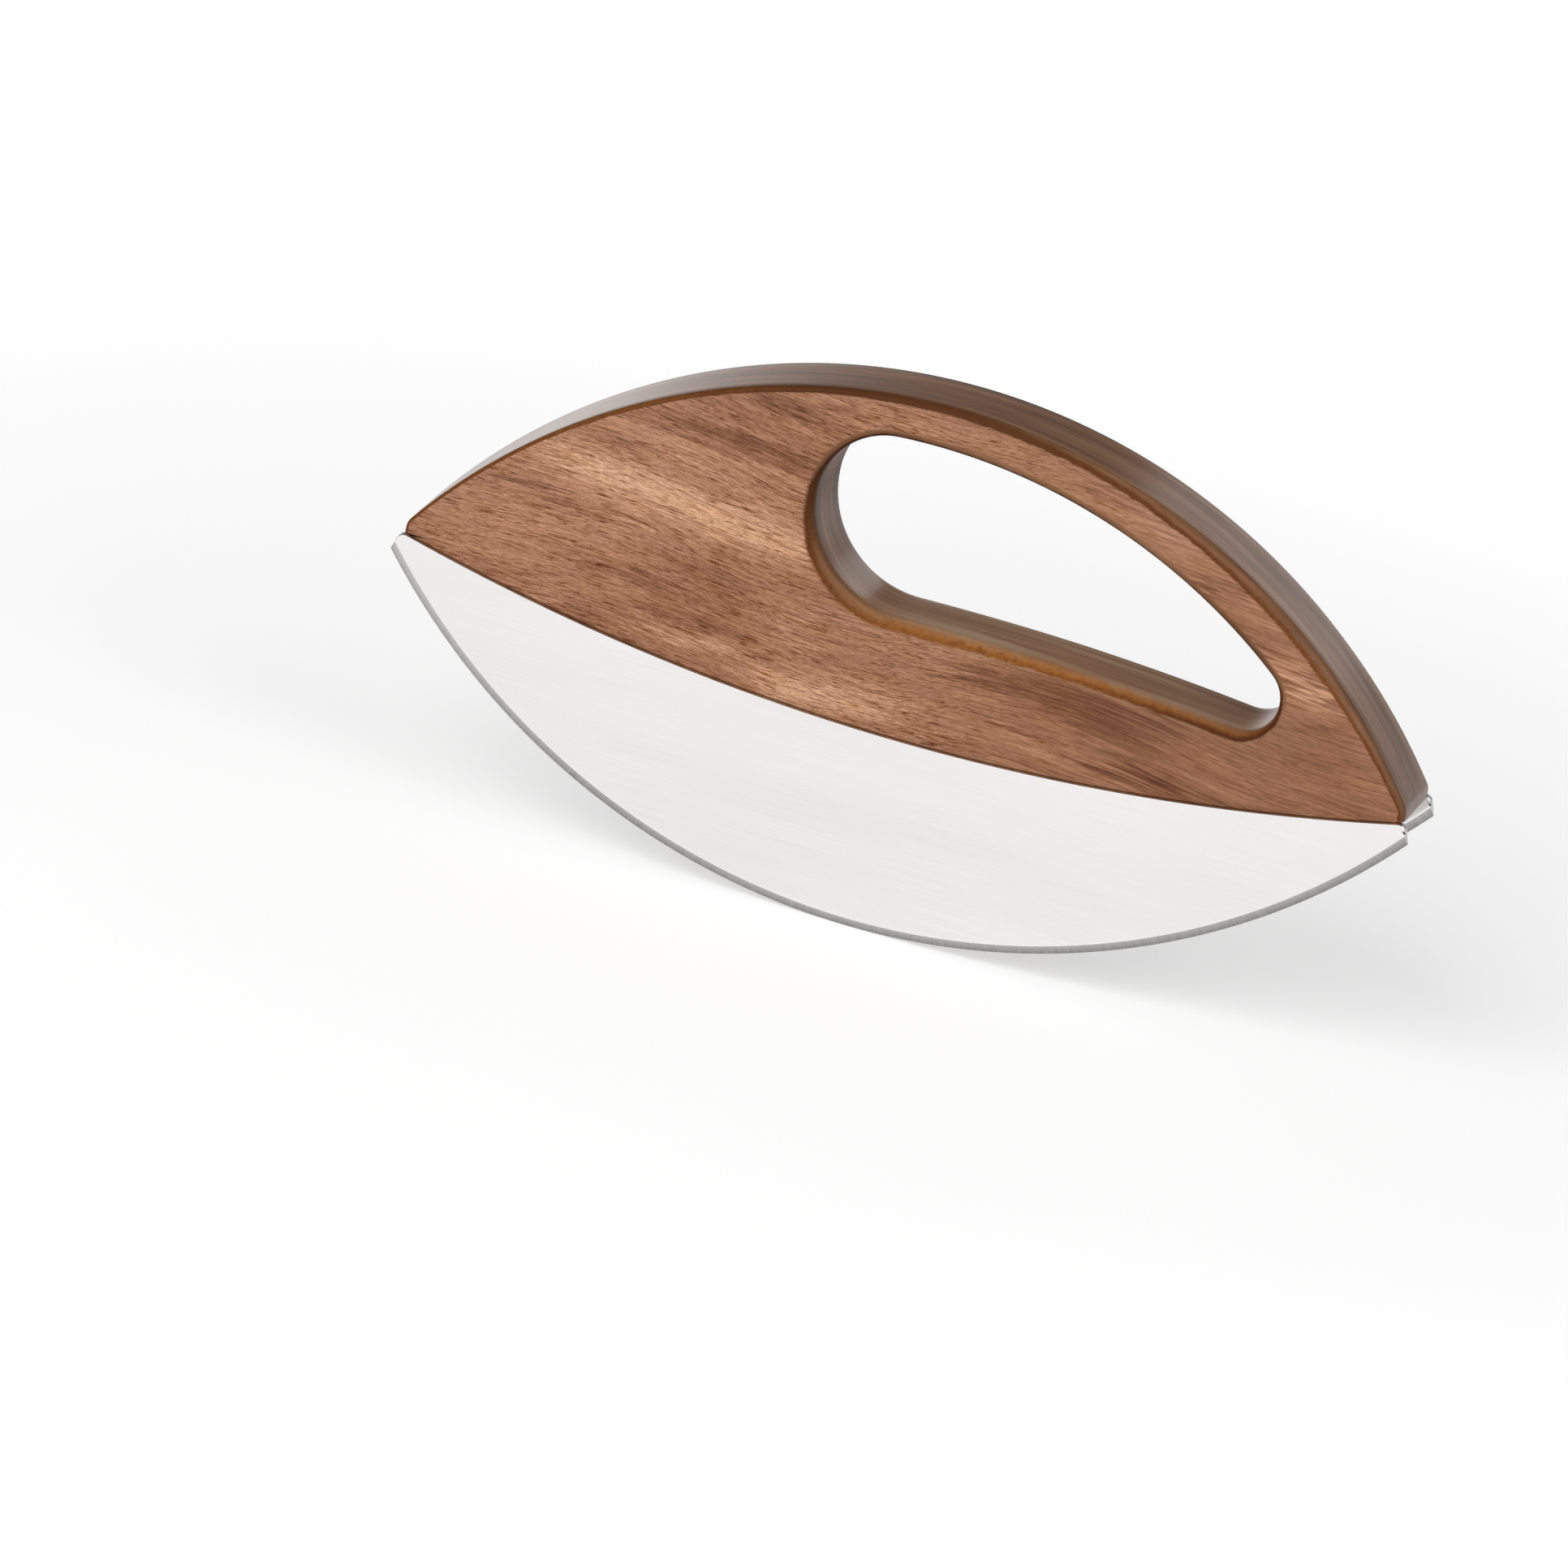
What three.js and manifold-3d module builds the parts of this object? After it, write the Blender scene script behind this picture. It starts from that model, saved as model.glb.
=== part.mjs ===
// One-hand mezzaluna: a wooden handle with a hand hole, over two parallel curved blades.
// Millimetres, +Z up. X runs along the blades, with the hand hole towards +X; the front is -Y.
// The origin is the middle of the footprint, at the lowest point of the cutting edges.
import * as THREE from 'three';
import { mergeVertices } from 'three/addons/utils/BufferGeometryUtils.js';
import Module from 'manifold-3d';

// Blades
const BLADE_LENGTH = 220; // tip to tip
const BLADE_SPREAD = 25; // over the outer faces of both blades
const BLADE_GAUGE = 2; // sheet thickness
const EDGE_WIDTH = 0.2; // what the grinding leaves at the cutting edge
const BEVEL_HEIGHT = 1.8; // ground on both sides of each blade
const END_CUT_HEIGHT = 4.1; // slanted end of a blade, from its tip up to its top corner
const END_CUT_LEAN = 1.5; // how far that end leans out towards the tip
const TOP_CORNER_ROUND = 1.2;

// Seam between the blades' top edges and the handle
const SEAM_HEIGHT = 41.5; // its lowest point above the cutting edges
const SEAM_RADIUS = 452;
const SEAT_GAP = 0.3; // between pieces that rest against each other

// Handle
const HANDLE_LAP = 0.5; // how far the wood reaches over each blade's top edge
const HANDLE_SETBACK = 0.5; // the wood's ends lie this far inside the blades' top corners
const NOSE_HEIGHT = 1.9; // upright end of the wood, between the seam and the rim
const NOSE_ROUND = 1;
const EDGE_ROUND = 2; // along the rim and both mouths of the hand hole
const FLOOR_DEPTH = 24.5; // wood between the seam and the floor of the hand hole
const HOLE_HEIGHT = 37.5;
const GRIP_DEPTH = 9; // wood between the roof of the hand hole and the rim

// Hand hole: floor, heel, crown, roof and toe are arcs, each tangent to the next
const HOLE_LEFT = -26; // where heel and crown meet
const HEEL_RADIUS = 22; // lower left
const TOE_RADIUS = 7.5; // right end
const FLOOR_RADIUS = 600; // the floor swells a little towards the palm
const FLOOR_APEX_X = 12;
const ROOF_SHIFT = 2.5; // the roof's centre lies this far to the left of the rim's

// Brackets between the blades, and the screws that hold them to the handle
const BRACKET_PITCH = 60;
const BRACKET_LENGTH = 26;
const BRACKET_GAUGE = 1.5;
const BRACKET_FLANGE = 8;
const BRACKET_BEND = 1; // inside radius
const SCREW_INSET = 6.5; // from each end of a bracket to the middle of its screw
const SCREW_DIAMETER = 3.2;
const SCREW_DEPTH = 12; // in the wood
const SCREW_POINT = 3;
const SCREW_HEAD_DIAMETER = 6.4;
const SCREW_HEAD_HEIGHT = 2.2;
const PILOT_EXTRA = 1; // depth of the pilot hole past the screw's tip

// Facets
const CHORD_ERROR = 0.03; // how far a facet may cut inside a curve
const ROUND_STEPS = 4;
const SCREW_SIDES = 16;
const PAST = 5; // how far a cutting shape runs past what it cuts

const wasm = await Module();
wasm.setup();

const steel = new THREE.MeshStandardMaterial({ color: 0xdcdad8, roughness: 0.35, metalness: 1 });
const bracketSteel = new THREE.MeshStandardMaterial({ color: 0xb9b9b8, roughness: 0.45, metalness: 1 });
const screwSteel = new THREE.MeshStandardMaterial({ color: 0xa8a8a6, roughness: 0.4, metalness: 1 });
const wood = new THREE.MeshStandardMaterial({ color: 0x8f6248, roughness: 0.55, metalness: 0 });

// Closed meshes to solids and back, for cutting and joining
function toSolid(geometry) {
  const bare = geometry.clone();
  bare.deleteAttribute('normal');
  bare.deleteAttribute('uv');
  const merged = mergeVertices(bare);
  const corners = merged.index.array;
  const triangles = [];
  for (let i = 0; i < corners.length; i += 3) {
    const [a, b, c] = corners.slice(i, i + 3);
    if (a !== b && b !== c && c !== a) triangles.push(a, b, c);
  }
  return new wasm.Manifold(new wasm.Mesh({
    numProp: 3,
    vertProperties: new Float32Array(merged.attributes.position.array),
    triVerts: new Uint32Array(triangles),
  }));
}

function toGeometry(solid) {
  const mesh = solid.getMesh();
  const geometry = new THREE.BufferGeometry();
  geometry.setAttribute('position', new THREE.BufferAttribute(mesh.vertProperties, mesh.numProp));
  geometry.setIndex(new THREE.BufferAttribute(mesh.triVerts, 1));
  geometry.computeVertexNormals();
  return geometry;
}

function namedMesh(name, geometry, material) {
  const mesh = new THREE.Mesh(geometry, material);
  mesh.name = name;
  return mesh;
}

// Plane geometry: outlines are drawn in X and Z, which a Vector2 holds as x and y
const at = (x, z) => new THREE.Vector2(x, z);
const mirrored = (point) => at(-point.x, point.y);
const angle = (centre, point) => Math.atan2(point.y - centre.y, point.x - centre.x);
const towards = (start, end, distance) => end.clone().sub(start).setLength(distance).add(start);

function facetAngle(radius) {
  return 2 * Math.acos(1 - CHORD_ERROR / radius);
}

function arc(centre, radius, from, to) {
  const count = Math.max(2, Math.ceil(Math.abs(to - from) / facetAngle(radius)));
  return new THREE.EllipseCurve(centre.x, centre.y, radius, radius, from, to, to < from).getPoints(count);
}

// Radius of the arc over a chord of a given half-width and rise
function arcRadius(halfWidth, rise) {
  return (halfWidth ** 2 + rise ** 2) / (2 * rise);
}

// Where two circles cross, on the side of +X
function crossing(centreA, radiusA, centreB, radiusB) {
  const line = centreB.clone().sub(centreA);
  const along = (line.lengthSq() + radiusA ** 2 - radiusB ** 2) / (2 * line.length());
  const aside = Math.sqrt(radiusA ** 2 - along ** 2);
  const foot = towards(centreA, centreB, along);
  const square = at(line.y, -line.x).setLength(aside);
  return square.x > 0 ? foot.add(square) : foot.sub(square);
}

function roundCorner(before, corner, after, distance) {
  const start = towards(corner, before, distance);
  const end = towards(corner, after, distance);
  return new THREE.QuadraticBezierCurve(start, corner, end).getPoints(ROUND_STEPS);
}

// A plate of the given outline standing on edge, centred on middleY, with its long edges rounded
function plate(outline, thickness, { middleY = 0, holes = [], round = 0 } = {}) {
  const shape = new THREE.Shape(outline);
  shape.holes = holes.map((points) => new THREE.Path(points));
  const geometry = new THREE.ExtrudeGeometry(shape, {
    depth: thickness - 2 * round,
    bevelEnabled: round > 0,
    bevelThickness: round,
    bevelSize: round,
    bevelOffset: -round,
    bevelSegments: ROUND_STEPS,
  });
  geometry.translate(0, 0, round - thickness / 2);
  return geometry.rotateX(Math.PI / 2).translate(0, middleY, 0);
}

// Seam: the blades' top edges, or lifted by a gap, the underside of the handle
const seamCentre = at(0, SEAM_HEIGHT + SEAM_RADIUS);

function seamPoint(x, lift = 0) {
  return at(x, seamCentre.y - Math.sqrt((SEAM_RADIUS - lift) ** 2 - x ** 2));
}

function seamArc(halfWidth, lift = 0) {
  const left = angle(seamCentre, seamPoint(-halfWidth, lift));
  const right = angle(seamCentre, seamPoint(halfWidth, lift));
  return arc(seamCentre, SEAM_RADIUS - lift, left, right);
}

// Blades: a disc ground to a V around its rim, cut along the seam and across both ends
const bladeTopCorner = seamPoint(BLADE_LENGTH / 2 - END_CUT_LEAN);
const bladeTip = at(BLADE_LENGTH / 2, bladeTopCorner.y - END_CUT_HEIGHT);

function groundDisc(middleY) {
  const radius = arcRadius(bladeTip.x, bladeTip.y);
  const face = BLADE_GAUGE / 2;
  const edge = EDGE_WIDTH / 2;
  const profile = [
    at(0, -face),
    at(radius - BEVEL_HEIGHT, -face),
    at(radius, -edge),
    at(radius, edge),
    at(radius - BEVEL_HEIGHT, face),
    at(0, face),
  ];
  const facetsPerHalf = Math.ceil(Math.PI / facetAngle(radius));
  return new THREE.LatheGeometry(profile, 2 * facetsPerHalf).translate(0, middleY, radius);
}

function bladeOutline() {
  const top = seamArc(bladeTopCorner.x).slice(1, -1);
  const pastTip = towards(bladeTopCorner, bladeTip, bladeTopCorner.distanceTo(bladeTip) + PAST);
  const rightEnd = [
    ...roundCorner(top.at(-1), bladeTopCorner, bladeTip, TOP_CORNER_ROUND),
    pastTip,
    at(pastTip.x, -PAST),
  ];
  return [...top, ...rightEnd, ...rightEnd.map(mirrored).reverse()];
}

function makeBlade(name, side) {
  const middleY = side * (BLADE_SPREAD - BLADE_GAUGE) / 2;
  const trim = plate(bladeOutline(), BLADE_GAUGE + 2 * PAST, { middleY });
  const blade = toSolid(groundDisc(middleY)).intersect(toSolid(trim));
  return namedMesh(name, toGeometry(blade), steel);
}

// Handle: a rounded plate with the hand hole, cut off along the seam and drilled for the screws
const floorHeight = SEAM_HEIGHT + FLOOR_DEPTH;
const handleHeight = floorHeight + HOLE_HEIGHT + GRIP_DEPTH;
const handleEnd = bladeTopCorner.x - HANDLE_SETBACK;
const nose = at(handleEnd, seamPoint(handleEnd, SEAT_GAP).y + NOSE_HEIGHT);
const rimRadius = arcRadius(handleEnd, handleHeight - nose.y);
const rimCentre = at(0, handleHeight - rimRadius);

function handleOutline() {
  const right = angle(rimCentre, nose);
  const rim = arc(rimCentre, rimRadius, right, Math.PI - right).slice(1, -1);
  const bottom = at(handleEnd, SEAM_HEIGHT - PAST);
  const rightEnd = [bottom, ...roundCorner(bottom, nose, rim[0], NOSE_ROUND)];
  return [...rightEnd, ...rim, ...rightEnd.map(mirrored).reverse()];
}

function handHole() {
  const floor = at(FLOOR_APEX_X, floorHeight - FLOOR_RADIUS);
  const roof = at(-ROOF_SHIFT, rimCentre.y);
  const roofRadius = rimRadius - GRIP_DEPTH;

  const heelX = HOLE_LEFT + HEEL_RADIUS;
  const heelRise = Math.sqrt((FLOOR_RADIUS + HEEL_RADIUS) ** 2 - (heelX - floor.x) ** 2);
  const heel = at(heelX, floor.y + heelRise);

  const reach = HOLE_LEFT - roof.x;
  const rise = heel.y - roof.y;
  const crownRadius = (roofRadius ** 2 - reach ** 2 - rise ** 2) / (2 * (roofRadius + reach));
  const crown = at(HOLE_LEFT + crownRadius, heel.y);

  const toe = crossing(floor, FLOOR_RADIUS + TOE_RADIUS, roof, roofRadius - TOE_RADIUS);

  return [
    arc(floor, FLOOR_RADIUS, angle(floor, toe), angle(floor, heel)),
    arc(heel, HEEL_RADIUS, angle(floor, heel) + Math.PI, Math.PI),
    arc(crown, crownRadius, Math.PI, angle(roof, crown)),
    arc(roof, roofRadius, angle(roof, crown), angle(roof, toe)),
    arc(toe, TOE_RADIUS, angle(roof, toe), angle(floor, toe) - Math.PI),
  ].flatMap((points) => points.slice(1));
}

function belowSeam(thickness) {
  const halfWidth = handleEnd + PAST;
  const base = SEAM_HEIGHT - 2 * PAST;
  return plate([...seamArc(halfWidth, SEAT_GAP), at(halfWidth, base), at(-halfWidth, base)], thickness);
}

function makeHandle(pilots) {
  const thickness = BLADE_SPREAD - 2 * BLADE_GAUGE + 2 * HANDLE_LAP;
  const block = plate(handleOutline(), thickness, { holes: [handHole()], round: EDGE_ROUND });
  let handle = toSolid(block).subtract(toSolid(belowSeam(thickness + 2 * PAST)));
  for (const pilot of pilots) handle = handle.subtract(toSolid(pilot));
  return namedMesh('handle', toGeometry(handle), wood);
}

// Fixing stations: each has a frame on the handle's underside, with its Z square to the wood
const screwPlaces = [SCREW_INSET - BRACKET_LENGTH / 2, BRACKET_LENGTH / 2 - SCREW_INSET];
const screwHoleRadius = SCREW_DIAMETER / 2 + SEAT_GAP;
const webTop = -SEAT_GAP;
const webBottom = webTop - BRACKET_GAUGE;

function stationFrame(x) {
  const point = seamPoint(x, SEAT_GAP);
  const frame = new THREE.Group();
  frame.position.set(point.x, 0, point.y);
  frame.rotation.y = -Math.asin(x / (SEAM_RADIUS - SEAT_GAP));
  frame.updateMatrixWorld(true);
  return frame;
}

function screwHole(x, from, to) {
  const hole = new THREE.CylinderGeometry(screwHoleRadius, screwHoleRadius, to - from, SCREW_SIDES);
  return hole.rotateX(Math.PI / 2).translate(x, 0, (from + to) / 2);
}

// A strip bent into a U, with its flanges against the blades' inner faces
function makeBracket(name) {
  const halfWidth = BLADE_SPREAD / 2 - BLADE_GAUGE - SEAT_GAP;
  const bendOutside = BRACKET_BEND + BRACKET_GAUGE;
  const flangeEnd = webTop - BRACKET_FLANGE;
  const bend = at(halfWidth - bendOutside, webTop - bendOutside);
  const outside = [at(halfWidth, flangeEnd), ...arc(bend, bendOutside, 0, Math.PI / 2)];
  const inside = [...arc(bend, BRACKET_BEND, Math.PI / 2, 0), at(halfWidth - BRACKET_GAUGE, flangeEnd)];
  const section = [
    ...outside,
    ...outside.map(mirrored).reverse(),
    ...inside.map(mirrored).reverse(),
    ...inside,
  ];
  const strip = new THREE.ExtrudeGeometry(new THREE.Shape(section), {
    depth: BRACKET_LENGTH,
    bevelEnabled: false,
  });
  const turned = new THREE.Matrix4().makeBasis(
    new THREE.Vector3(0, 1, 0),
    new THREE.Vector3(0, 0, 1),
    new THREE.Vector3(1, 0, 0),
  );
  strip.translate(0, 0, -BRACKET_LENGTH / 2).applyMatrix4(turned);
  let bracket = toSolid(strip);
  for (const x of screwPlaces) {
    bracket = bracket.subtract(toSolid(screwHole(x, webBottom - PAST, webTop + PAST)));
  }
  return namedMesh(name, toGeometry(bracket), bracketSteel);
}

// A pan-head wood screw, driven upwards
function makeScrew(name, x) {
  const shank = SCREW_DIAMETER / 2;
  const head = SCREW_HEAD_DIAMETER / 2;
  const headTop = webBottom - SEAT_GAP;
  const headBottom = headTop - SCREW_HEAD_HEIGHT;
  const dome = new THREE.QuadraticBezierCurve(
    at(head / 2, headBottom),
    at(head, headBottom),
    at(head, headTop - SCREW_HEAD_HEIGHT / 2),
  );
  const profile = [
    at(0, headBottom),
    ...dome.getPoints(ROUND_STEPS),
    at(head, headTop),
    at(shank, headTop),
    at(shank, SCREW_DEPTH - SCREW_POINT),
    at(0, SCREW_DEPTH),
  ];
  const geometry = new THREE.LatheGeometry(profile, SCREW_SIDES).rotateX(Math.PI / 2).translate(x, 0, 0);
  return namedMesh(name, toGeometry(toSolid(geometry)), screwSteel);
}

// Assembly
const mezzaluna = new THREE.Group();
mezzaluna.add(makeBlade('front_blade', -1), makeBlade('rear_blade', 1));

const pilots = [];
const stations = { left: -BRACKET_PITCH, middle: 0, right: BRACKET_PITCH };
for (const [place, stationX] of Object.entries(stations)) {
  const frame = stationFrame(stationX);
  frame.add(makeBracket(`${place}_bracket`));
  screwPlaces.forEach((x, index) => {
    frame.add(makeScrew(`${place}_screw_${index + 1}`, x));
    pilots.push(screwHole(x, -PAST, SCREW_DEPTH + PILOT_EXTRA).applyMatrix4(frame.matrixWorld));
  });
  mezzaluna.add(frame);
}
mezzaluna.add(makeHandle(pilots));

export default mezzaluna;
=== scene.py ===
# A one-hand mezzaluna: an oiled wooden handle with a hand hole, over two brushed steel blades.
# Shapes are worked out in millimetres in the part's own frame. A finished mesh is scaled to metres.
import math
from typing import NamedTuple

import bmesh
import bpy
from bmesh.types import BMEdge, BMFace, BMVert
from mathutils import Matrix, Vector


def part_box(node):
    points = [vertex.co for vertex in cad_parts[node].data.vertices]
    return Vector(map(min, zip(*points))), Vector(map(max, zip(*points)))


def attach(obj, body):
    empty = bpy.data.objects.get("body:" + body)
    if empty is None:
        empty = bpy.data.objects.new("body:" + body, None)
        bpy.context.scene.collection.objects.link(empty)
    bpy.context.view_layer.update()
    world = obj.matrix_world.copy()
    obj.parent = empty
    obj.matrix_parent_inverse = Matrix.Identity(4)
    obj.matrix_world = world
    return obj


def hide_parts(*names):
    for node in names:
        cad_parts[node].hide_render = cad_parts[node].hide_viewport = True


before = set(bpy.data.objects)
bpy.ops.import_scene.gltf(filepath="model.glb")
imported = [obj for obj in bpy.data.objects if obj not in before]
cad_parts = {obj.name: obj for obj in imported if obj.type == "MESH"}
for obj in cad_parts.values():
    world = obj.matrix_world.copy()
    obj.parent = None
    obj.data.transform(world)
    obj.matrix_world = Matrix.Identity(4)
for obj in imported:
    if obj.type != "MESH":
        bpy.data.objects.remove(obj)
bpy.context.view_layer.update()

MM = 0.001
_, handle_high = (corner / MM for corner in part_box("handle"))
blade_low, blade_high = (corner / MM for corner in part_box("front_blade"))

# Camera: how the photograph looks at the object, which is rocked towards its right end there
PHOTO_SIZE = 1932  # pixels
SENSOR = 36
VIEW_TURN = 14.973  # degrees round to the right
VIEW_RISE = 15.132  # degrees up
VIEW_ROCK = 12.609  # degrees
VIEW_DISTANCE = 4000
VIEW_SCALE = 6.0129  # photograph pixels to a millimetre at the object
VIEW_SHIFT = (12.0629, -29.0962)  # of the object in the picture, to the right and up

# Seam between the blades' top edges and the handle
SEAM_HEIGHT = 41.5
SEAM_RADIUS = 452
SEAT_GAP = 0.3
SHOWN_GAP = 0.03  # the wood sits down on the blades

# Handle
NOSE_HEIGHT = 1.9  # upright end of the wood, between the seam and the rim
NOSE_ROUND = 1  # how far that end's round reaches down it
GRIP_DEPTH = 9  # of the wood over the hand hole
UNDERSIDE_ROUND = 0.12
UNDERSIDE_INSET = 6  # from the handle's end to the first point of its underside
WALL_BAND = 3
FACE_BAND = 1.2
ROUND_STEPS = 8


class Edge(NamedTuple):
    """How an edge of the wood is finished at one place."""

    round: float
    start: float  # of the burnish, which lies across the round: 0 at the flat face, 1 at the wall
    end: float
    honey: float  # 1 where the burnish is honey-coloured, 0 where it is dark brown
    line: float  # how dark a line it has along the flat face
    dull: float  # how dull the wall past the edge is
    pale: float  # how pale that wall is


# The rim's stations are along X
RIM_EDGE = (
    (-108, Edge(0.6, 0, 1.4, 0.3, 0.3, 0, 0)),
    (-80, Edge(0.85, 0, 1.5, 0.35, 0.3, 0, 0)),
    (-60, Edge(1.0, 0, 1.5, 0.3, 0.3, 0, 0)),
    (-32, Edge(1.3, 0.05, 1.3, 0.05, 0.3, 0, 0)),
    (10, Edge(1.8, 0.1, 1.0, 0.1, 0.2, 0, 0)),
    (36, Edge(2.0, 0.1, 0.7, 0.2, 0.3, 0, 0.1)),
    (52, Edge(2.3, 0.05, 0.5, 0.3, 0.5, 0.3, 0)),
    (85, Edge(2.4, 0.05, 0.4, 0.6, 0.4, 0.2, 0.3)),
    (108, Edge(1.5, 0.05, 0.4, 0.4, 0.5, 0.4, 0)),
)
FLOOR_TOE_EDGE = Edge(2.6, 0.15, 0.8, 0.5, 1, 0.2, 1.6)
FLOOR_MIDDLE_EDGE = Edge(2.6, 0.2, 0.85, 0.95, 0.4, 1, 1.5)
HEEL_LOW_EDGE = Edge(3.0, 0.15, 0.7, 0.9, 0.3, 0.1, 1.2)
HEEL_TURN_EDGE = Edge(3.2, 0.1, 0.55, 0.6, 0.4, 0, 0.5)
HEEL_SIDE_EDGE = Edge(2.9, 0.15, 0.65, 0.35, 0.5, 0.6, -0.3)
HEEL_LEFT_EDGE = Edge(2.0, 0.25, 1.0, 0, 0.6, 1, -1.2)
CROWN_EDGE = Edge(1.9, 0.6, 1.4, 0, 1, 1, -0.2)
ROOF_EDGE = Edge(1.9, 0.72, 1.4, 0.1, 1, 1, 0.2)
TOE_EDGE = Edge(1.9, 0.35, 1.1, 0.1, 1, 0.2, 0.5)
UNDERSIDE_EDGE = Edge(UNDERSIDE_ROUND, 3, 4, 0, 0, 1, 0.6)

# Hand hole, in arcs that are each tangent to the next
HOLE_LEFT = -26
FLOOR_HEIGHT = 66
FLOOR_RADIUS = 600
FLOOR_APEX_X = 12
HEEL_RADIUS = 22
TOE_RADIUS = 7.5
ROOF_SHIFT = 2.5

# Blades
BLADE_GAUGE = 2
EDGE_WIDTH = 0.2
BEVEL_HEIGHT = 1.8
END_CUT_HEIGHT = 4.1
END_CUT_LEAN = 1.5
TOP_CORNER_ROUND = 1.2  # how far the corner's round reaches down the end
BLADE_CHAMFER = 0.15
TOP_CHAMFER = 0.05
BLADE_BAND = 0.6
TOP, END, GROUND = range(3)  # stretches of a blade's outline
BRUSHED_FACE, GROUND_FACE, CUT_FACE = range(3)  # in the order of a blade's materials

# Brackets, in a frame on the underside of the wood with Z square to it
STATIONS = (("left", -60), ("middle", 0), ("right", 60))
BRACKET_LENGTH = 26
BRACKET_HALF_WIDTH = 10.2
BRACKET_GAUGE = 1.5
BRACKET_TOP = -0.3
BRACKET_END = -8.3
BEND_RADIUS = 2.5  # outside the bend
BEND_STEPS = 6
FLANGE_CORNER = 2
CORNER_STEPS = 4
BRACKET_SOFTENING = 0.2
SOFTENING_STEPS = 2
CUT_EDGE_TURN = math.radians(60)  # the strip turns by more than this at its cut edges

# Screws, in the same frame
SCREW_OFFSET = 6.5  # along the bracket, to each side of its middle
SCREW_HOLE_RADIUS = 1.9
SCREW_HOLE_SIDES = 24
SCREW_SIDES = 32
HEAD_TOP = -2.1
HEAD_BOTTOM = -4.3
HEAD_RADIUS = 3.2
HEAD_TAPER = 0.35  # how much smaller the radius of its flat is, for each millimetre of height
HEAD_CURVE = 0.75  # share of the head's height that is curved
HEAD_STEPS = 5
SHANK_RADIUS = 1.6
SCREW_DEPTH = 12
SCREW_POINT = 3
POINT_RADIUS = 0.05
RECESS_REACH = 1.7
RECESS_HALF_WIDTH = 0.45
RECESS_DEPTH = 1.3
RECESS_TAPER = 0.8  # width of its floor over that of its mouth

# Curves
ARC_STEP = 1.2  # longest chord of a curve
LEAST_ARC_STEPS = 6
SHARP = math.radians(35)  # the least turn that shows as a crease
TOUCHING = 1e-4  # points nearer than this are one
CLOSED = 1e-3  # an outline whose ends are nearer than this needs no last line


def xz(x, z):
    return Vector((x, 0, z))


def heading(centre, point):
    return math.atan2(point.z - centre.z, point.x - centre.x)


def towards(centre):
    """The direction from a place to a centre, as a function of the place."""
    return lambda place: (centre - place).normalized()


def seam_height(x, lift=0):
    return SEAM_HEIGHT + SEAM_RADIUS - math.sqrt((SEAM_RADIUS - lift) ** 2 - x**2)


def arc_radius(half_width, rise):
    return (half_width**2 + rise**2) / (2 * rise)


def crossing(centre_a, radius_a, centre_b, radius_b):
    """Where two circles cross, on the side of +X."""
    line = centre_b - centre_a
    along = (line.length_squared + radius_a**2 - radius_b**2) / (2 * line.length)
    aside = math.sqrt(radius_a**2 - along**2)
    square = xz(line.z, -line.x).normalized() * aside
    foot = centre_a + line.normalized() * along
    return foot + square if square.x > 0 else foot - square


def blend(start, end, share):
    return tuple(a + (b - a) * share for a, b in zip(start, end))


def between(stations, x):
    """The values at x along a row of (place, values) stations."""
    for (x0, start), (x1, end) in zip(stations, stations[1:]):
        if x <= x1:
            return blend(start, end, max(0, (x - x0) / (x1 - x0)))
    return stations[-1][1]


seam_centre = xz(0, SEAM_HEIGHT + SEAM_RADIUS)
handle_end = handle_high.x
wood_half = handle_high.y
nose = xz(handle_end, seam_height(handle_end, SEAT_GAP) + NOSE_HEIGHT)
rim_radius = arc_radius(handle_end, handle_high.z - nose.z)
rim_centre = xz(0, handle_high.z - rim_radius)
blade_top_corner = xz(blade_high.x - END_CUT_LEAN, seam_height(blade_high.x - END_CUT_LEAN))
blade_tip = xz(blade_high.x, blade_top_corner.z - END_CUT_HEIGHT)
edge_radius = arc_radius(blade_tip.x, blade_tip.z)
edge_centre = xz(0, edge_radius)


# Meshes

def only(geometry, kind):
    return [item for item in geometry if isinstance(item, kind)]


def extrude(bm, edges):
    """Extrudes edges on the spot; gives the new edges beside them, the new vertices and the faces."""
    made = bmesh.ops.extrude_edge_only(bm, edges=edges)["geom"]
    verts = set(only(made, BMVert))
    ring = [edge for edge in only(made, BMEdge) if verts.issuperset(edge.verts)]
    return ring, verts, only(made, BMFace)


def to_object(bm, name):
    """A finished mesh in metres, smooth but for its sharp edges."""
    bmesh.ops.remove_doubles(bm, verts=bm.verts, dist=TOUCHING)
    bmesh.ops.recalc_face_normals(bm, faces=bm.faces)
    bmesh.ops.scale(bm, verts=bm.verts, vec=(MM, MM, MM))
    for face in bm.faces:
        face.smooth = True
    for edge in bm.edges:
        edge.smooth = len(edge.link_faces) == 2 and edge.calc_face_angle() < SHARP
    mesh = bpy.data.meshes.new(name)
    bm.to_mesh(mesh)
    bm.free()
    piece = bpy.data.objects.new(name, mesh)
    bpy.context.scene.collection.objects.link(piece)
    return piece


def dress(piece, node, slot, *materials):
    for material in materials:
        piece.data.materials.append(material)
    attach(piece, "root")
    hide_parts(node)


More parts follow.
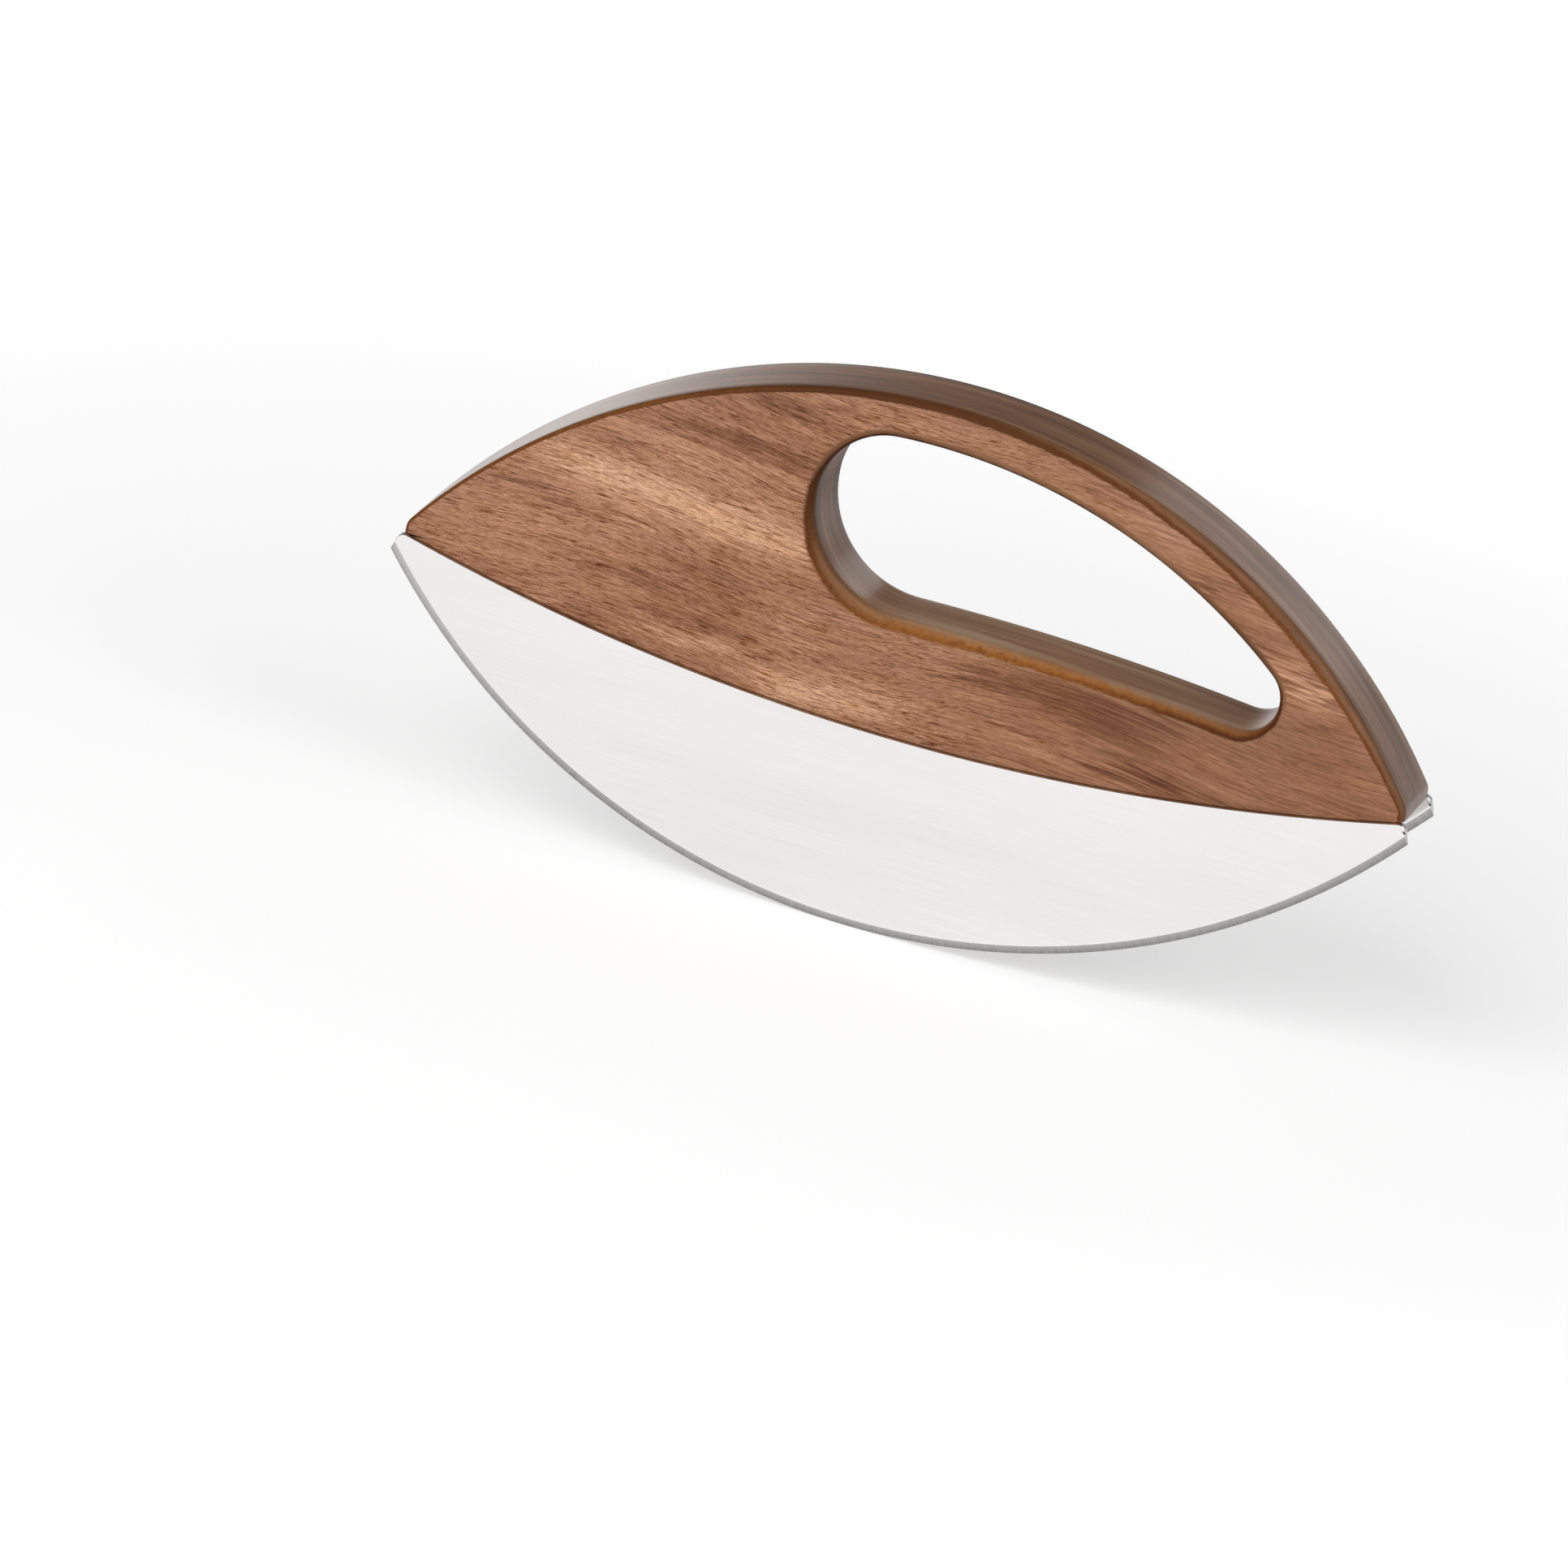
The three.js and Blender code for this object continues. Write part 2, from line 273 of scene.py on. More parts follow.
class Plate:
    """Half of a flat piece, grown from outlines on its middle plane towards the front, then mirrored.

    Each vertex of an outline remembers its place, which way it moves as the edge is rounded over or
    ground, and the size of that round. Extruded vertices keep what their outline vertex remembers."""

    def __init__(self):
        self.bm = bmesh.new()
        vectors = self.bm.verts.layers.float_vector
        numbers = self.bm.verts.layers.float
        self.home = vectors.new("home")
        self.inward = vectors.new("inward")
        self.rounding = numbers.new("rounding")
        self.notes = {}

    def note(self, name):
        """A number on every vertex that the material can read."""
        self.notes[name] = self.bm.verts.layers.float.new(name)
        return self.notes[name]

    def start(self, place):
        self.first = self.last = self.bm.verts.new(place)
        return [self.first]

    def line(self, place):
        self.last = bmesh.ops.extrude_vert_indiv(self.bm, verts=[self.last])["verts"][0]
        self.last.co = place
        return [self.last]

    def arc(self, centre, turn):
        """Carries the last vertex round a centre. A positive turn is anticlockwise from the front."""
        radius = (self.last.co - centre).length
        steps = max(LEAST_ARC_STEPS, math.ceil(abs(turn) * radius / ARC_STEP))
        count = len(self.bm.verts)
        bmesh.ops.spin(
            self.bm, geom=[self.last], cent=centre, axis=(0, -1, 0), angle=turn, steps=steps
        )
        self.bm.verts.ensure_lookup_table()
        made = self.bm.verts[count:]
        self.last = made[-1]
        return made

    def close(self):
        """Joins the last vertex to the first, and gives the outline's edges, the only ones not tagged."""
        if (self.last.co - self.first.co).length < CLOSED:
            bmesh.ops.weld_verts(self.bm, targetmap={self.first: self.last})
        else:
            self.bm.edges.new((self.last, self.first))
        edges = [edge for edge in self.bm.edges if not edge.tag]
        for edge in edges:
            edge.tag = True
        return edges

    def remember(self, verts, inward, edge=lambda place: (0,)):
        """The edge's values at a place are the size of its round, and the notes in their order."""
        for vert in verts:
            vert[self.home] = vert.co
            vert[self.inward] = inward(vert.co)
            layers = (self.rounding, *self.notes.values())
            for layer, value in zip(layers, edge(vert.co)):
                vert[layer] = value

    def grow(self, edges, move):
        """Extrudes a ring of edges, and moves each new vertex to its inset and its depth from the middle
        plane."""
        ring, verts, faces = extrude(self.bm, edges)
        for vert in verts:
            inset, depth = move(vert)
            vert.co = vert[self.home] + vert[self.inward] * inset
            vert.co.y = -depth
        for edge in self.bm.edges:
            edge.tag = True
        return ring, verts, faces

    def finish(self, name, edges, middle_y=0):
        """Fills the face between the last rings, mirrors the half, and makes the object."""
        bmesh.ops.triangle_fill(self.bm, use_beauty=True, edges=edges)
        everything = self.bm.verts[:] + self.bm.edges[:] + self.bm.faces[:]
        bmesh.ops.mirror(self.bm, geom=everything, axis="Y", merge_dist=TOUCHING)
        vectors = self.bm.verts.layers.float_vector
        numbers = self.bm.verts.layers.float
        vectors.remove(vectors["home"])
        vectors.remove(vectors["inward"])
        numbers.remove(numbers["rounding"])
        bmesh.ops.translate(self.bm, verts=self.bm.verts, vec=(0, middle_y, 0))
        return to_object(self.bm, name)


# Handle

def draw_rim(plate):
    """Outline of the wood, from its underside round the right end and over the rim to the left end."""
    def arris(_):
        return UNDERSIDE_EDGE

    def rim_edge(place):
        return between(RIM_EDGE, place.x)

    def along_underside(place):
        side = math.copysign(1, place.x)
        return xz(-side, -abs(place.x) / SEAM_RADIUS)

    def into_end(place):
        return xz(-math.copysign(1, place.x), 0)

    half = handle_end - UNDERSIDE_INSET
    left = xz(-half, seam_height(half, SHOWN_GAP))
    verts = plate.start(left)
    verts += plate.arc(seam_centre, 2 * math.asin(half / (SEAM_RADIUS - SHOWN_GAP)))
    plate.remember(verts, towards(seam_centre), arris)

    corner = xz(handle_end, seam_height(handle_end, SHOWN_GAP))
    verts = plate.line(corner)
    plate.remember(verts, along_underside, rim_edge)

    # The end is upright, and a short arc leads from it into the rim
    slope = heading(rim_centre, nose)
    soft_radius = NOSE_ROUND / math.tan(slope / 2)
    soft_centre = xz(handle_end - soft_radius, nose.z - NOSE_ROUND)
    verts = plate.line(xz(handle_end, soft_centre.z))
    plate.remember(verts, into_end, rim_edge)
    verts = plate.arc(soft_centre, slope)
    plate.remember(verts, towards(soft_centre), rim_edge)
    start = heading(rim_centre, plate.last.co)
    plate.last.co = rim_centre + xz(math.cos(start), math.sin(start)) * rim_radius
    rim = plate.arc(rim_centre, math.pi - 2 * start)
    plate.remember(rim, towards(rim_centre), rim_edge)
    mirror_centre = xz(-soft_centre.x, soft_centre.z)
    verts = plate.arc(mirror_centre, slope)
    plate.remember(verts, towards(mirror_centre), rim_edge)
    verts = plate.line(xz(-handle_end, corner.z))
    plate.remember(verts, along_underside, rim_edge)
    return plate.close()


def draw_hole(plate):
    """Outline of the hand hole: floor, heel, crown, roof and toe."""
    floor = xz(FLOOR_APEX_X, FLOOR_HEIGHT - FLOOR_RADIUS)
    roof = xz(-ROOF_SHIFT, rim_centre.z)
    roof_radius = rim_radius - GRIP_DEPTH

    heel_x = HOLE_LEFT + HEEL_RADIUS
    heel_rise = math.sqrt((FLOOR_RADIUS + HEEL_RADIUS) ** 2 - (heel_x - floor.x) ** 2)
    heel = xz(heel_x, floor.z + heel_rise)

    reach = HOLE_LEFT - roof.x
    rise = heel.z - roof.z
    crown_radius = (roof_radius**2 - reach**2 - rise**2) / (2 * (roof_radius + reach))
    crown = xz(HOLE_LEFT + crown_radius, heel.z)

    toe = crossing(floor, FLOOR_RADIUS + TOE_RADIUS, roof, roof_radius - TOE_RADIUS)
    toe_low = heading(floor, toe)
    heel_low = heading(floor, heel)
    roof_left = heading(roof, crown)
    roof_right = heading(roof, toe)

    def stretch(centre, turn, side, *edges):
        """An arc whose edge changes evenly from each of the given ones to the next. The wood lies
        towards its centre where side is 1, and away from it where side is -1."""
        def into_wood(place):
            return towards(centre)(place) * side

        stations = [(index / (len(edges) - 1), edge) for index, edge in enumerate(edges)]
        verts = plate.arc(centre, turn)
        for index, vert in enumerate(verts):
            edge = between(stations, (index + 1) / len(verts))
            plate.remember([vert], into_wood, lambda place: edge)

    plate.start(floor + xz(math.cos(toe_low), math.sin(toe_low)) * FLOOR_RADIUS)
    stretch(floor, heel_low - toe_low, 1, FLOOR_TOE_EDGE, FLOOR_MIDDLE_EDGE, HEEL_LOW_EDGE)
    stretch(heel, -heel_low, -1, HEEL_LOW_EDGE, HEEL_TURN_EDGE, HEEL_SIDE_EDGE, HEEL_LEFT_EDGE)
    # The crown takes on its own edge in the first quarter of its arc
    stretch(crown, roof_left - math.pi, -1, HEEL_LEFT_EDGE, *[CROWN_EDGE] * 4)
    stretch(roof, roof_right - roof_left, -1, CROWN_EDGE, ROOF_EDGE)
    stretch(toe, toe_low - math.pi - roof_right, -1, ROOF_EDGE, TOE_EDGE, FLOOR_TOE_EDGE)
    return plate.close()


def make_handle():
    plate = Plate()
    for name in Edge._fields[1:]:
        plate.note("edge_" + name)
    turn = plate.note("edge_turn")  # 2 on a wall, 1 to 0 across its round edge, -1 on the flat face
    wall, face = 2, -1

    def step(ring, move, value):
        ring, verts, _ = plate.grow(ring, move)
        for vert in verts:
            vert[turn] = value
        return ring

    last_rings = []
    for draw in (draw_rim, draw_hole):
        edges = draw(plate)
        for vert in {vert for edge in edges for vert in edge.verts}:
            vert[turn] = wall

        ring = step(edges, lambda v: (0, wood_half - v[plate.rounding] - WALL_BAND), wall)
        for index in range(ROUND_STEPS + 1):
            share = index / ROUND_STEPS
            sine, cosine = math.sin(share * math.pi / 2), math.cos(share * math.pi / 2)
            ring = step(
                ring,
                lambda v: (
                    v[plate.rounding] * (1 - cosine),
                    wood_half - v[plate.rounding] * (1 - sine),
                ),
                cosine,
            )
        ring = step(ring, lambda v: (v[plate.rounding] + FACE_BAND, wood_half), face)
        last_rings += ring
    return plate.finish("wooden_handle", last_rings)


# Blades

def draw_blade(plate, kind):
    """Outline of a blade, from the left tip along the cutting edge, and back along the seam. A note
    of each vertex, its kind, says which stretch it is on."""
    def mark(verts, value, inward):
        plate.remember(verts, inward)
        for vert in verts:
            vert[kind] = value

    def flipped(place):
        return xz(-place.x, place.z)

    def from_seam(place):
        return -towards(seam_centre)(place)

    cut = (blade_top_corner - blade_tip).normalized()
    slide = cut / cut.dot(towards(edge_centre)(blade_tip))
    half_turn = math.asin(blade_tip.x / edge_radius)

    first = plate.start(flipped(blade_tip))
    verts = plate.arc(edge_centre, 2 * half_turn)
    mark(verts[:-1], GROUND, towards(edge_centre))
    mark(verts[-1:], GROUND, lambda place: slide)
    mark(first, GROUND, lambda place: flipped(slide))

    # A short arc leads from the slanted end into the seam
    top_angle = heading(seam_centre, blade_top_corner)
    along_top = xz(math.sin(top_angle), -math.cos(top_angle))
    bend = math.acos(max(-1, min(1, cut.dot(along_top))))
    soft_radius = TOP_CORNER_ROUND / math.tan(bend / 2)
    into_end = xz(-cut.z, cut.x)
    soft_start = blade_top_corner - cut * TOP_CORNER_ROUND
    soft_centre = soft_start + into_end * soft_radius
    verts = plate.line(soft_start)
    mark(verts, END, lambda place: into_end)
    verts = plate.arc(soft_centre, bend)
    mark(verts, END, towards(soft_centre))
    mark(verts[-1:], TOP, from_seam)
    start = heading(seam_centre, plate.last.co)
    verts = plate.arc(seam_centre, -math.pi - 2 * start)
    mark(verts, TOP, from_seam)
    mirror_centre = flipped(soft_centre)
    verts = plate.arc(mirror_centre, bend)
    mark(verts, END, towards(mirror_centre))
    return plate.close()


def make_blade(name, middle_y):
    plate = Plate()
    kind = plate.note("finish")
    edges = draw_blade(plate, kind)
    half = BLADE_GAUGE / 2

    def is_top(vert):
        return vert[kind] == TOP

    def is_ground(vert):
        return vert[kind] == GROUND

    def chamfer(vert):
        return TOP_CHAMFER if is_top(vert) else BLADE_CHAMFER

    def side(vert):
        return (0, EDGE_WIDTH / 2) if is_ground(vert) else (0, half - chamfer(vert))

    def shoulder(vert):
        return (BEVEL_HEIGHT, half) if is_ground(vert) else (chamfer(vert), half)

    def band(vert):
        inset, depth = shoulder(vert)
        return inset + BLADE_BAND, depth

    ring, _, faces = plate.grow(edges, side)
    for face in faces:
        face.material_index = CUT_FACE if all(map(is_top, face.verts)) else GROUND_FACE
    ring, _, faces = plate.grow(ring, shoulder)
    for face in faces:
        face.material_index = GROUND_FACE if all(map(is_ground, face.verts)) else BRUSHED_FACE
    ring, _, faces = plate.grow(ring, band)
    for face in faces:
        face.material_index = BRUSHED_FACE
    return plate.finish(name, ring, middle_y)


# Brackets and screws

def at_station(bm, x):
    """Takes a mesh from the station's own frame to its place under the wood."""
    lean = -math.asin(x / (SEAM_RADIUS - SEAT_GAP))
    place = Matrix.Translation(xz(x, seam_height(x, SEAT_GAP))) @ Matrix.Rotation(lean, 4, "Y")
    bmesh.ops.transform(bm, matrix=place, verts=bm.verts)


def make_bracket(name, x):
    """A strip bent into a U: a web with two screw holes, and a flange down each side."""
    bm = bmesh.new()
    half_length, half_web = BRACKET_LENGTH / 2, BRACKET_HALF_WIDTH - BEND_RADIUS
    corner = bm.verts.new((-half_length, -half_web, BRACKET_TOP))
    side = bmesh.ops.extrude_vert_indiv(bm, verts=[corner])
    side["verts"][0].co.x = half_length
    _, far_side, _ = extrude(bm, side["edges"])
    for vert in far_side:
        vert.co.y = half_web
    bmesh.ops.delete(bm, geom=bm.faces[:], context="FACES_ONLY")
    for offset in (-SCREW_OFFSET, SCREW_OFFSET):
        place = Matrix.Translation((offset, 0, BRACKET_TOP))
        bmesh.ops.create_circle(
            bm, segments=SCREW_HOLE_SIDES, radius=SCREW_HOLE_RADIUS, matrix=place
        )
    bmesh.ops.triangle_fill(bm, use_beauty=True, edges=bm.edges[:])

    for sign in (-1, 1):
        y = sign * half_web
        edge = next(e for e in bm.edges if all(abs(v.co.y - y) < TOUCHING for v in e.verts))
        bend = bmesh.ops.spin(
            bm,
            geom=[edge, *edge.verts],
            cent=(0, y, BRACKET_TOP - BEND_RADIUS),
            axis=(1, 0, 0),
            angle=-sign * math.pi / 2,
            steps=BEND_STEPS,
        )["geom_last"]
        _, flange_end, _ = extrude(bm, only(bend, BMEdge))
        for vert in flange_end:
            vert.co.z = BRACKET_END
    bmesh.ops.remove_doubles(bm, verts=bm.verts, dist=TOUCHING)

    corners = [vert for vert in bm.verts if abs(vert.co.z - BRACKET_END) < TOUCHING]
    bmesh.ops.bevel(
        bm,
        geom=corners,
        offset=FLANGE_CORNER,
        affect="VERTICES",
        segments=CORNER_STEPS,
        profile=0.5,
        material=-1,
    )
    bmesh.ops.recalc_face_normals(bm, faces=bm.faces)
    if max(bm.faces, key=lambda face: face.calc_center_median().z).normal.z < 0:
        bmesh.ops.reverse_faces(bm, faces=bm.faces)
    bmesh.ops.solidify(bm, geom=bm.faces[:], thickness=BRACKET_GAUGE)
    rims = [e for e in bm.edges if len(e.link_faces) == 2 and e.calc_face_angle() > CUT_EDGE_TURN]
    bmesh.ops.bevel(
        bm,
        geom=rims,
        offset=BRACKET_SOFTENING,
        affect="EDGES",
        segments=SOFTENING_STEPS,
        profile=0.5,
        material=-1,
    )
    at_station(bm, x)
    return to_object(bm, name)


def make_screw(name, x, offset):
    """A pan-head wood screw with a cross recess, driven up through the bracket into the wood."""
    bm = bmesh.new()
    height = HEAD_TOP - HEAD_BOTTOM
    flat_radius = HEAD_RADIUS - height * HEAD_TAPER
    flat_place = Matrix.Translation((0, 0, HEAD_BOTTOM))

    # The cross is a square with an arm drawn out of each side
    bmesh.ops.create_grid(
        bm, x_segments=1, y_segments=1, size=RECESS_HALF_WIDTH, matrix=flat_place
    )
    arm = RECESS_REACH - RECESS_HALF_WIDTH
    for edge in bm.edges[:]:
        outward = (edge.verts[0].co + edge.verts[1].co) / 2
        outward.z = 0
        _, verts, _ = extrude(bm, [edge])
        bmesh.ops.translate(bm, vec=outward.normalized() * arm, verts=list(verts))
    floor_faces = bm.faces[:]
    outline = [edge for edge in bm.edges if len(edge.link_faces) == 1]
    mouth, _, _ = extrude(bm, outline)
    for vert in {vert for face in floor_faces for vert in face.verts}:
        vert.co.z += RECESS_DEPTH
        vert.co.x *= RECESS_TAPER
        vert.co.y *= RECESS_TAPER

    circle = bmesh.ops.create_circle(
        bm, segments=SCREW_SIDES, radius=flat_radius, matrix=flat_place
    )["verts"]
    ring = [edge for edge in bm.edges if set(circle).issuperset(edge.verts)]
    bmesh.ops.triangle_fill(bm, use_beauty=True, edges=mouth + ring)

    # The head curves up to its full width, and steps in to the shank and the point
    profile = []
    for step in range(1, HEAD_STEPS + 1):
        angle = step / HEAD_STEPS * math.pi / 2
        radius = flat_radius + (HEAD_RADIUS - flat_radius) * math.sin(angle)
        profile.append((radius, HEAD_BOTTOM + height * HEAD_CURVE * (1 - math.cos(angle))))
    profile += [
        (HEAD_RADIUS, HEAD_TOP),
        (SHANK_RADIUS, HEAD_TOP),
        (SHANK_RADIUS, SCREW_DEPTH - SCREW_POINT),
        (POINT_RADIUS, SCREW_DEPTH),
    ]
    for radius, z in profile:
        ring, verts, _ = extrude(bm, ring)
        for vert in verts:
            vert.co.z = 0
            vert.co = vert.co.normalized() * radius
            vert.co.z = z
    bmesh.ops.contextual_create(bm, geom=ring)
    bmesh.ops.translate(bm, vec=(offset, 0, 0), verts=bm.verts)
    at_station(bm, x)
    return to_object(bm, name)


# Materials

def colour(red, green, blue):
    """A colour as a picture shows it, from 0 to 255, turned into light by the sRGB curve."""
    def light(value):
        value /= 255
        return value / 12.92 if value <= 0.04045 else ((value + 0.055) / 1.055) ** 2.4

    return light(red), light(green), light(blue), 1


class Graph:
    """A node tree that is built by calls. An input is a value, or another node's output."""

    def __init__(self, tree):
        self.tree = tree
        tree.nodes.clear()

    def add(self, kind, inputs=(), **settings):
        node = self.tree.nodes.new(kind)
        for name, value in settings.items():
            setattr(node, name, value)
        for key, value in dict(inputs).items():
            if isinstance(value, bpy.types.NodeSocket):
                self.tree.links.new(value, node.inputs[key])
            else:
                node.inputs[key].default_value = value
        return node

    def math(self, operation, *values):
        return self.add("ShaderNodeMath", enumerate(values), operation=operation).outputs[0]

    def times(self, first, second):
        return self.math("MULTIPLY", first, second)

    def swing(self, value, size):
        """A value from 0 to 1, turned into one from minus half the size to plus half of it."""
        return self.math("MULTIPLY_ADD", value, size, -size / 2)

    def span(self, value, source, target=(0, 1), kind="SMOOTHSTEP"):
        """Takes a value from one range to another, and holds it at their ends."""
        inputs = {
            "Value": value,
            "From Min": source[0],
            "From Max": source[1],
            "To Min": target[0],
            "To Max": target[1],
        }
        return self.add("ShaderNodeMapRange", inputs, interpolation_type=kind).outputs[0]

    def vector(self, operation, *values):
        return self.add("ShaderNodeVectorMath", enumerate(values), operation=operation).outputs[0]

    def length(self, vector):
        return self.add("ShaderNodeVectorMath", {0: vector}, operation="LENGTH").outputs["Value"]

    def split(self, vector):
        """The X, Y and Z of a place."""
        return self.add("ShaderNodeSeparateXYZ", {0: vector}).outputs

    def join(self, x, y, z):
        return self.add("ShaderNodeCombineXYZ", {0: x, 1: y, 2: z}).outputs[0]

    def object_mm(self):
        """Object coordinates in millimetres."""
        place = self.add("ShaderNodeTexCoord").outputs["Object"]
        return self.vector("MULTIPLY", place, (1 / MM,) * 3)

    def attribute(self, name):
        return self.add("ShaderNodeAttribute", attribute_name=name).outputs["Fac"]

    def noise_node(self, place, often, detail, roughness):
        """Noise that changes so often to a millimetre along X, Y and Z."""
        scaled = self.vector("MULTIPLY", place, often)
        inputs = {"Vector": scaled, "Scale": 1, "Detail": detail, "Roughness": roughness}
        return self.add("ShaderNodeTexNoise", inputs)

    def noise(self, place, often, detail=2, roughness=0.5):
        """A value from 0 to 1."""
        return self.noise_node(place, often, detail, roughness).outputs["Fac"]

    def stray(self, place, reach, often, detail=2, roughness=0.5):
        """A place that strays from the given one to and fro, over the given reach."""
        away = self.noise_node(place, often, detail, roughness).outputs["Color"]
        away = self.vector("SUBTRACT", away, (0.5,) * 3)
        return self.vector("ADD", place, self.vector("MULTIPLY", away, reach))

    def mix(self, factor, first, second, blend="MIX"):
        inputs = {0: factor, 6: first, 7: second}
        return self.add("ShaderNodeMix", inputs, data_type="RGBA", blend_type=blend).outputs[2]

    def ramp(self, factor, *stops):
        node = self.add("ShaderNodeValToRGB", {"Fac": factor})
        elements = node.color_ramp.elements
        while len(elements) < len(stops):
            elements.new(1)
        for element, (place, shade) in zip(elements, stops):
            element.position = place
            element.color = shade
        return node.outputs[0]

    def bump(self, height, strength, distance_mm):
        inputs = {"Height": height, "Strength": strength, "Distance": distance_mm * MM}
        return self.add("ShaderNodeBump", inputs).outputs[0]

    def surface(self, **sockets):
        inputs = {name.replace("_", " "): value for name, value in sockets.items()}
        shader = self.add("ShaderNodeBsdfPrincipled", inputs)
        self.output(shader.outputs[0])

    def output(self, shader):
        self.add("ShaderNodeOutputMaterial", {"Surface": shader})


def new_graph(name):
    material = bpy.data.materials.new(name)
    material.use_nodes = True
    return material, Graph(material.node_tree)


# Wood

# Figure: pale and dark streaks, each with its middle in X and Z on the front face, its half length
# and half width, how many degrees it falls to the right, and how much paler it is
FIGURE = (
    (-50, 77, 44, 8, 4, 0.16),
    (-57, 77.6, 32, 2.6, 7, 0.28),
    (-38, 75, 20, 3, 2, 0.26),
    (-56, 70.5, 7, 1.4, 4, 0.14),
    (-46, 89, 26, 3, 4, 0.16),
    (-44, 93.5, 24, 2.4, 6, -0.2),
    (-32, 103.5, 18, 2.2, 4, -0.2),
    (-82, 71.5, 15, 2.4, 15, -0.22),
    (-80, 64, 60, 40, 0, 0.06),
    (-50, 60, 20, 7, 2, -0.15),
    (-45, 65, 18, 1.3, 5, -0.12),
    (-47, 52.8, 18, 2.2, 0, -0.18),
    (-64, 50.5, 10, 3, 10, -0.18),
    (-44, 49.5, 11, 2, -3, 0.2),
    (75, 60, 60, 36, 0, -0.15),
    (-14, 46, 22, 5.5, -3, 0.34),
    (1, 45.5, 12, 1.8, 0, 0.12),
    (-24, 56, 5, 8, 0, 0.14),
    (38, 58.5, 26, 7, 2, -0.26),
    (17, 58.5, 8, 4, 0, -0.14),
    (51, 48.5, 11, 3, 6, -0.28),
    (28, 48, 16, 2.4, 6, 0.12),
    (84, 68.5, 8, 1.1, 0, -0.12),
    (80, 78, 12, 3.5, 24, 0.26),
    (80, 72.5, 6, 7, 0, 0.16),
    (85, 74, 8, 3, 30, 0.2),
    (-12, 107, 18, 2.4, 0, 0.14),
    (5, 108.5, 14, 2.5, 4, 0.08),
    (31, 104, 7, 1.8, 14, -0.22),
    (46, 99, 12, 2.4, 24, 0.14),
    (64, 91, 9, 1.8, 22, -0.34),
)
FIGURE_FADE = (1.2, 0.1)  # where a streak begins and is full, in its half lengths and widths
FIGURE_CONTRAST = 1.15
PLAIN_TONE = 0.59  # of the wood between the streaks, from 0 for the darkest to 1 for the palest
RAGGED_REACH = (16, 0, 5)  # how far the streaks' borders stray
SPLIT_REACH = (50, 0, 7)  # how far those borders split along the grain lines
GRAIN_FALL = 0.044  # how much the grain falls to the right, on the whole
GRAIN_WAVE = (1.6, 106, 8)  # height, length and place of the grain's long wave
GRAIN_SLANT = 0.3  # how far the grain drops towards the back
GRAIN_REACH = (0, 2.5, 2.5)  # how far it strays
FADE_SPAN = (-5, 50)  # along X, where pores and fibres fade towards the end with the hand hole
EDGE_BAND_SPAN = (4, 9)  # from the middle plane, where a wall grows paler towards its edge


class Grain:
    """The grain of the wood, as lines of noise that run along it."""

    def __init__(self, graph, place):
        """Works out coordinates that run with the grain: X along it, Y and Z across."""
        x, y, z = graph.split(place)
        height, length, start = GRAIN_WAVE
        phase = graph.times(graph.math("SUBTRACT", x, start), 2 * math.pi / length)
        wave = graph.times(graph.math("SINE", phase), -height)
        fall = graph.math("MULTIPLY_ADD", x, GRAIN_FALL, wave)
        slant = graph.math("MULTIPLY_ADD", y, GRAIN_SLANT, fall)
        straight = graph.join(x, y, graph.math("ADD", z, slant))
        self.place = graph.stray(straight, GRAIN_REACH, (0.03, 0.07, 0.07))
        self.graph = graph

    def lines(self, along, across, detail=2, roughness=0.5):
        return self.graph.noise(self.place, (along, across, across), detail, roughness)


def wood_figure(graph, place, lines):
    """How much paler or darker than usual the wood is, from its broad streaks with split ends."""
    x, y, z = graph.split(place)
    depth = graph.math("MULTIPLY_ADD", y, GRAIN_SLANT, wood_half * GRAIN_SLANT)
    flat = graph.join(x, 0, graph.math("ADD", z, depth))
    flat = graph.stray(flat, RAGGED_REACH, (0.06, 0.3, 0.3), detail=4, roughness=0.65)
    away = graph.vector("SUBTRACT", graph.join(lines, 0.5, lines), (0.5,) * 3)
    flat = graph.vector("ADD", flat, graph.vector("MULTIPLY", away, SPLIT_REACH))
    total = 0.0
    for middle_x, middle_z, half_length, half_width, fall, strength in FIGURE:
        inputs = {
            "Vector": flat,
            "Location": (middle_x, 0, middle_z),
            "Rotation": (0, math.radians(fall), 0),
            "Scale": (half_length, 1, half_width),
        }
        streak = graph.add("ShaderNodeMapping", inputs, vector_type="TEXTURE").outputs[0]
        amount = graph.span(graph.length(streak), FIGURE_FADE)
        total = graph.math("MULTIPLY_ADD", amount, strength, total)
    return total


